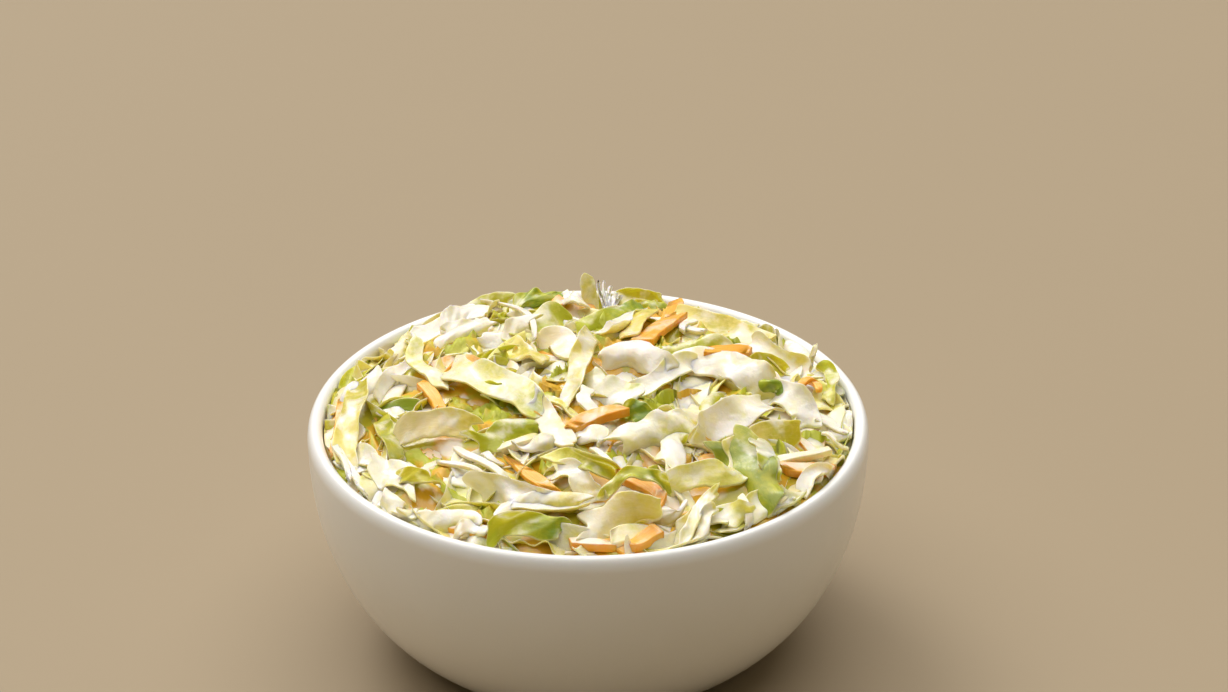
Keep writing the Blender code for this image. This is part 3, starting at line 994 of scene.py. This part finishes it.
def add_shred(body, shred):
    """Adds one shred to a body: a grid bent to the shred's points and given its thickness."""
    strip = body.loops.layers.uv["strip"]
    layers = {key: body.verts.layers.float[key] for key in SHRED_LAYERS}
    along, across = shred["along"], shred["across"]
    s_rows, t_rows = shred_rows(shred)
    size = math.dist(shred["start"], shred["end"]) / STRIP_UNIT, shred["width"] / STRIP_UNIT
    shift = shred["phase"][:2] * STRIP_SHIFT
    made = bmesh.ops.create_grid(body, x_segments=along - 1, y_segments=across - 1, size=1.0)
    corners = made["verts"]
    for corner in corners:
        i = round((corner.co.x + 1) / 2 * (along - 1))
        j = round((corner.co.y + 1) / 2 * (across - 1))
        s, t = float(s_rows[i]), float(t_rows[j])
        place = (s * size[0] + shift[0], t * size[1] + shift[1])
        for face_corner in corner.link_loops:
            face_corner[strip].uv = place
        corner[layers["green"]] = shred["green"] + shred["fade"] * s
        corner[layers["coat"]] = shred["coat"]
        corner[layers["tone"]] = shred["tone"]
        corner[layers["cut"]] = float(i in (0, along - 1) or j in (0, across - 1))
        corner[layers["across"]] = t
        corner.co = shred["points"][i, j]
    faces = list({face for corner in corners for face in corner.link_faces})
    bmesh.ops.solidify(body, geom=faces, thickness=shred["thickness"])


def make_shreds(name, layer, kinds, material, slot, smoothed=True):
    """One piece from every laid shred of some kinds: leaves are smoothed, and sticks have bevelled edges."""
    body = bmesh.new()
    body.loops.layers.uv.new("strip")
    for key in SHRED_LAYERS:
        body.verts.layers.float.new(key)
    for kind in kinds:
        for shred in heap_now["heap"].laid.get((layer, kind), []):
            add_shred(body, shred)
    bmesh.ops.recalc_face_normals(body, faces=body.faces)
    if not smoothed:
        edges = [edge for edge in body.edges if edge.calc_face_angle(0) > math.radians(BEVEL_ANGLE)]
        bmesh.ops.bevel(
            body,
            geom=edges,
            offset=BEVEL_WIDTH,
            offset_type="OFFSET",
            affect="EDGES",
            segments=2,
            profile=0.5,
            material=-1,
        )
    piece = placed(name, body, material, slot, "slaw")
    if smoothed:
        smooth = piece.modifiers.new("Smooth", "SUBSURF")
        smooth.levels = 1
        smooth.render_levels = 1
    return piece


HEAP_SEGMENTS, HEAP_RINGS, BED_STEPS = 200, 80, 12
BED_GAP = 0.3 * MM  # how far a body inside the bowl stays from it
BED_DROP = 4.0 * MM  # how far below the heap's edge its side ends
CORE_SINK = 0.2 * MM  # how far the core lies under the shreds that shaped it


def filled(bowl, heap, heights):
    """A body that fills the bowl from its floor up to a raster of heights."""
    inner_drop = BOWL_HIGH.z - bowl.rim_thickness / 2 - bowl.floor_thickness
    top = heap.edge - BED_DROP
    last_turn = turn_at(BOWL_HIGH.z - bowl.rim_thickness / 2 - top, inner_drop, bowl.inner_power)
    radius, drop = heap.inner - BED_GAP, inner_drop - BED_GAP
    bed = wall(radius, drop, bowl.inner_power, math.pi / 2, last_turn, BED_STEPS)
    reach = bed[-1][0]
    cover = [(reach * (1 - i / HEAP_RINGS), heap.edge) for i in range(1, HEAP_RINGS + 1)]
    body = turned(bed + cover, HEAP_SEGMENTS)
    for corner in body.verts:
        if corner.co.z > top + 1e-5:
            row, column = heap.cells(np.array(corner.co.x), np.array(corner.co.y))
            corner.co.z = float(heights[row, column])
    return body


# ---------------------------------------------------------------- operators


class COLESLAW_OT_bowl(bpy.types.Operator):
    """Make the glazed bowl"""

    bl_idname = "coleslaw.bowl"
    bl_label = "Bowl"

    def execute(self, context):
        bowl = context.scene.coleslaw_bowl
        body = turned(bowl_profile(bowl), BOWL_SEGMENTS)
        placed("glazed_bowl", body, glaze_material(bowl), "white_glaze", "bowl")
        return {"FINISHED"}


class COLESLAW_OT_lay(bpy.types.Operator):
    """Lay the shreds on the heap and make the core under them"""

    bl_idname = "coleslaw.lay"
    bl_label = "Heap and Core"

    def execute(self, context):
        scene = context.scene
        bowl = scene.coleslaw_bowl
        heap = lay_heap(scene.coleslaw_heap, bowl)
        material = core_material(scene.coleslaw_cabbage, scene.coleslaw_dressing)
        body = filled(bowl, heap, heap.core - CORE_SINK)
        placed("slaw_core", body, material, "pale_cabbage", "slaw")
        return {"FINISHED"}


POOL_BLUR = 8  # how many cells each way the heap is smoothed under the pools
POOL_SINK = 2.6 * MM  # how far the pools lie under the smoothed heap
POOL_SWELL = 1.4 * MM  # how far they rise and fall
POOL_SPACING = 9 * MM


class COLESLAW_OT_dressing(bpy.types.Operator):
    """Make the dressing that has run together between the shreds; its amber and olive also paint the shade
    of the gaps
    """

    bl_idname = "coleslaw.dressing"
    bl_label = "Dressing"

    def execute(self, context):
        scene = context.scene
        heap = heap_now["heap"]
        places = zip(heap.x.flat, heap.y.flat)
        swell = np.array([noise.noise(Vector((x, y, 0)) / POOL_SPACING) for x, y in places])
        level = heap.smoothed(POOL_BLUR) - POOL_SINK + swell.reshape(heap.x.shape) * POOL_SWELL
        body = filled(scene.coleslaw_bowl, heap, level)
        placed("dressing_pools_and_gap_shade", body, dressing_material(scene.coleslaw_dressing), "dressing", "slaw")
        return {"FINISHED"}


LAYERS = {"fill": "under", "top": "on_top"}  # how a layer is called in its pieces' names


class COLESLAW_OT_cabbage(bpy.types.Operator):
    """Make the cabbage shreds: pale, green, thick stems and fine ones"""

    bl_idname = "coleslaw.cabbage"
    bl_label = "Cabbage"

    def execute(self, context):
        cabbage, dressing = context.scene.coleslaw_cabbage, context.scene.coleslaw_dressing
        pale = cabbage_material("pale_cabbage", cabbage, dressing)
        green = cabbage_material("green_cabbage", cabbage, dressing)
        for kind, material in (("pale", pale), ("green", green)):
            for layer, place in LAYERS.items():
                name = f"{kind}_cabbage"
                make_shreds(f"{name}_{place}", layer, (kind,), material, name)
        for layer, place in LAYERS.items():
            make_shreds(f"cabbage_sticks_{place}", layer, ("stem", "fine"), pale, "pale_cabbage", False)
        return {"FINISHED"}


class COLESLAW_OT_carrot(bpy.types.Operator):
    """Make the carrot sticks"""

    bl_idname = "coleslaw.carrot"
    bl_label = "Carrot"

    def execute(self, context):
        material = carrot_material(context.scene.coleslaw_carrot, context.scene.coleslaw_dressing)
        for layer, place in LAYERS.items():
            make_shreds(f"carrot_sticks_{place}", layer, ("carrot",), material, "carrot", False)
        return {"FINISHED"}


def sun(name, towards, strength, angle, tint):
    """A soft distant light that shines from a direction, with its apparent size in degrees."""
    data = bpy.data.lights.new(name, "SUN")
    data.energy = strength
    data.angle = math.radians(angle)
    data.color = tint
    made = bpy.data.objects.new(name, data)
    made.location = towards
    made.rotation_euler = Vector(towards).to_track_quat("Z", "Y").to_euler()
    bpy.context.scene.collection.objects.link(made)


def studio_world(dim, bright):
    """Soft light from all round, dimmest from the viewer's side and brightest from behind."""
    world = bpy.data.worlds.new("studio")
    world.use_nodes = True
    tree = world.node_tree
    sky = tree.nodes["Background"]
    places = tree.nodes.new("ShaderNodeTexCoord")
    parts = tree.nodes.new("ShaderNodeSeparateXYZ")
    back = tree.nodes.new("ShaderNodeMapRange")
    back.interpolation_type = "SMOOTHSTEP"
    back.inputs["From Min"].default_value = -1.0
    colours = tree.nodes.new("ShaderNodeMix")
    colours.data_type = "RGBA"
    colours.inputs[6].default_value = (*dim, 1.0)
    colours.inputs[7].default_value = (*bright, 1.0)
    tree.links.new(places.outputs["Generated"], parts.inputs["Vector"])
    tree.links.new(parts.outputs["Y"], back.inputs["Value"])
    tree.links.new(back.outputs["Result"], colours.inputs["Factor"])
    tree.links.new(colours.outputs[2], sky.inputs["Color"])
    return world


CAMERA_PLACE = (0.0064, -0.6487, 0.4186)
CAMERA_TILT = 27.64  # degrees below level
CAMERA_LENS, SENSOR_WIDTH, VIEW_END = 87.07, 36.0, 100.0  # the first two in mm, the last in metres


class COLESLAW_OT_stage(bpy.types.Operator):
    """Make the floor, the lights and the camera"""

    bl_idname = "coleslaw.stage"
    bl_label = "Stage"

    def execute(self, context):
        scene = context.scene
        stage = scene.coleslaw_stage
        body = bmesh.new()
        bmesh.ops.create_circle(body, cap_ends=True, segments=96, radius=stage.reach)
        mesh = bpy.data.meshes.new("floor")
        body.to_mesh(mesh)
        body.free()
        shades = Shades("plain_floor")
        grain = shades.noise(shades.places(), 14.0, 2.0)
        darker = tuple(part * 0.94 for part in stage.floor)
        mottled = shades.mix(grain * 0.3, stage.floor, darker)
        mesh.materials.append(shades.finish(Base_Color=mottled, Roughness=0.7))
        floor = bpy.data.objects.new("floor", mesh)
        scene.collection.objects.link(floor)
        sun("key_light", towards=(-1.16, 1.72, 2.16), strength=0.85, angle=24, tint=stage.light)
        sun("top_light", towards=(-0.5, 0.9, 3.4), strength=3.0, angle=88, tint=stage.light)
        scene.world = studio_world(stage.front_sky, stage.back_sky)
        scene.view_settings.view_transform = "Standard"
        camera_data = bpy.data.cameras.new("camera")
        camera_data.sensor_width = SENSOR_WIDTH
        camera_data.lens = CAMERA_LENS
        camera_data.clip_end = VIEW_END
        camera = bpy.data.objects.new("camera", camera_data)
        camera.location = CAMERA_PLACE
        camera.rotation_euler = (math.radians(90 - CAMERA_TILT), 0, 0)
        scene.collection.objects.link(camera)
        scene.camera = camera
        return {"FINISHED"}


class COLESLAW_PT_panel(bpy.types.Panel):
    bl_label = "Coleslaw"
    bl_space_type = "VIEW_3D"
    bl_region_type = "UI"
    bl_category = "Coleslaw"

    def draw(self, context):
        for operator in OPERATORS:
            self.layout.operator(operator.bl_idname)


OPERATORS = (
    COLESLAW_OT_bowl,
    COLESLAW_OT_lay,
    COLESLAW_OT_cabbage,
    COLESLAW_OT_carrot,
    COLESLAW_OT_dressing,
    COLESLAW_OT_stage,
)
CLASSES = (*GROUPS.values(), *OPERATORS, COLESLAW_PT_panel)


def register():
    for made in CLASSES:
        bpy.utils.register_class(made)
    for name, group in GROUPS.items():
        setattr(bpy.types.Scene, f"coleslaw_{name}", PointerProperty(type=group))


def unregister():
    for name in GROUPS:
        delattr(bpy.types.Scene, f"coleslaw_{name}")
    for made in reversed(CLASSES):
        bpy.utils.unregister_class(made)


def main():
    register()
    bpy.ops.coleslaw.bowl()
    bpy.ops.coleslaw.lay()
    bpy.ops.coleslaw.cabbage()
    bpy.ops.coleslaw.carrot()
    bpy.ops.coleslaw.dressing()
    bpy.ops.coleslaw.stage()


if __name__ == "__main__":
    main()
